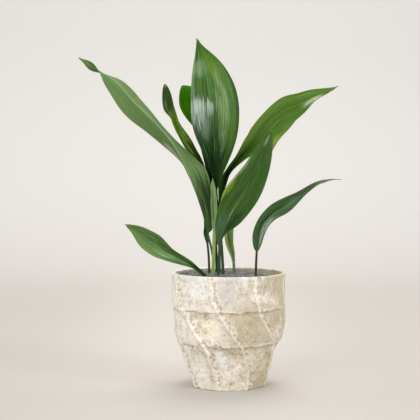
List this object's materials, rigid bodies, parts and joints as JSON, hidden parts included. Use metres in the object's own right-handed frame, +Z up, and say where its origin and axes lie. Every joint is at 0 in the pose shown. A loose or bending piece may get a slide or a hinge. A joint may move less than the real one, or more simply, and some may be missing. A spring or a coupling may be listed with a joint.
{
  "type": "potted plant",
  "caption": "Foliage plant with broad, pointed, long-stalked leaves rising from compost in a tapered stoneware pot with spiral ribs and raised bands.",
  "frame": {"origin": "centre of the pot's flat underside", "axes": "+Z up the pot and the leaves, -Y the front that the picture shows, +X to the viewer's right"},
  "size_m": [0.4588, 0.222, 0.6122],
  "materials": {
    "pot": "matte cream stoneware with a rough, pitted face and tan patches",
    "soil": "matte damp compost",
    "leaf_dark_green": "leathery leaf, glossy upper side",
    "leaf_mid_green": "leathery leaf, satin upper side",
    "leaf_underside_green": "leathery leaf, matte underside",
    "leaf_bright_green": "leathery leaf, light shining through",
    "leaf_pale_green": "young rolled leaf, satin"
  },
  "bodies": {
    "root": {"pot": "pot", "soil": "soil", "leaf_far_left": "leaf_underside_green", "leaf_twisted": "leaf_dark_green", "leaf_back": "leaf_bright_green", "leaf_tall": "leaf_dark_green", "leaf_upper_right": "leaf_mid_green", "leaf_front": "leaf_dark_green", "leaf_low_right": "leaf_dark_green", "leaf_low_left": "leaf_mid_green", "leaf_young": "leaf_pale_green", "leaf_behind_front": "leaf_bright_green"}
  },
  "joints": []
}
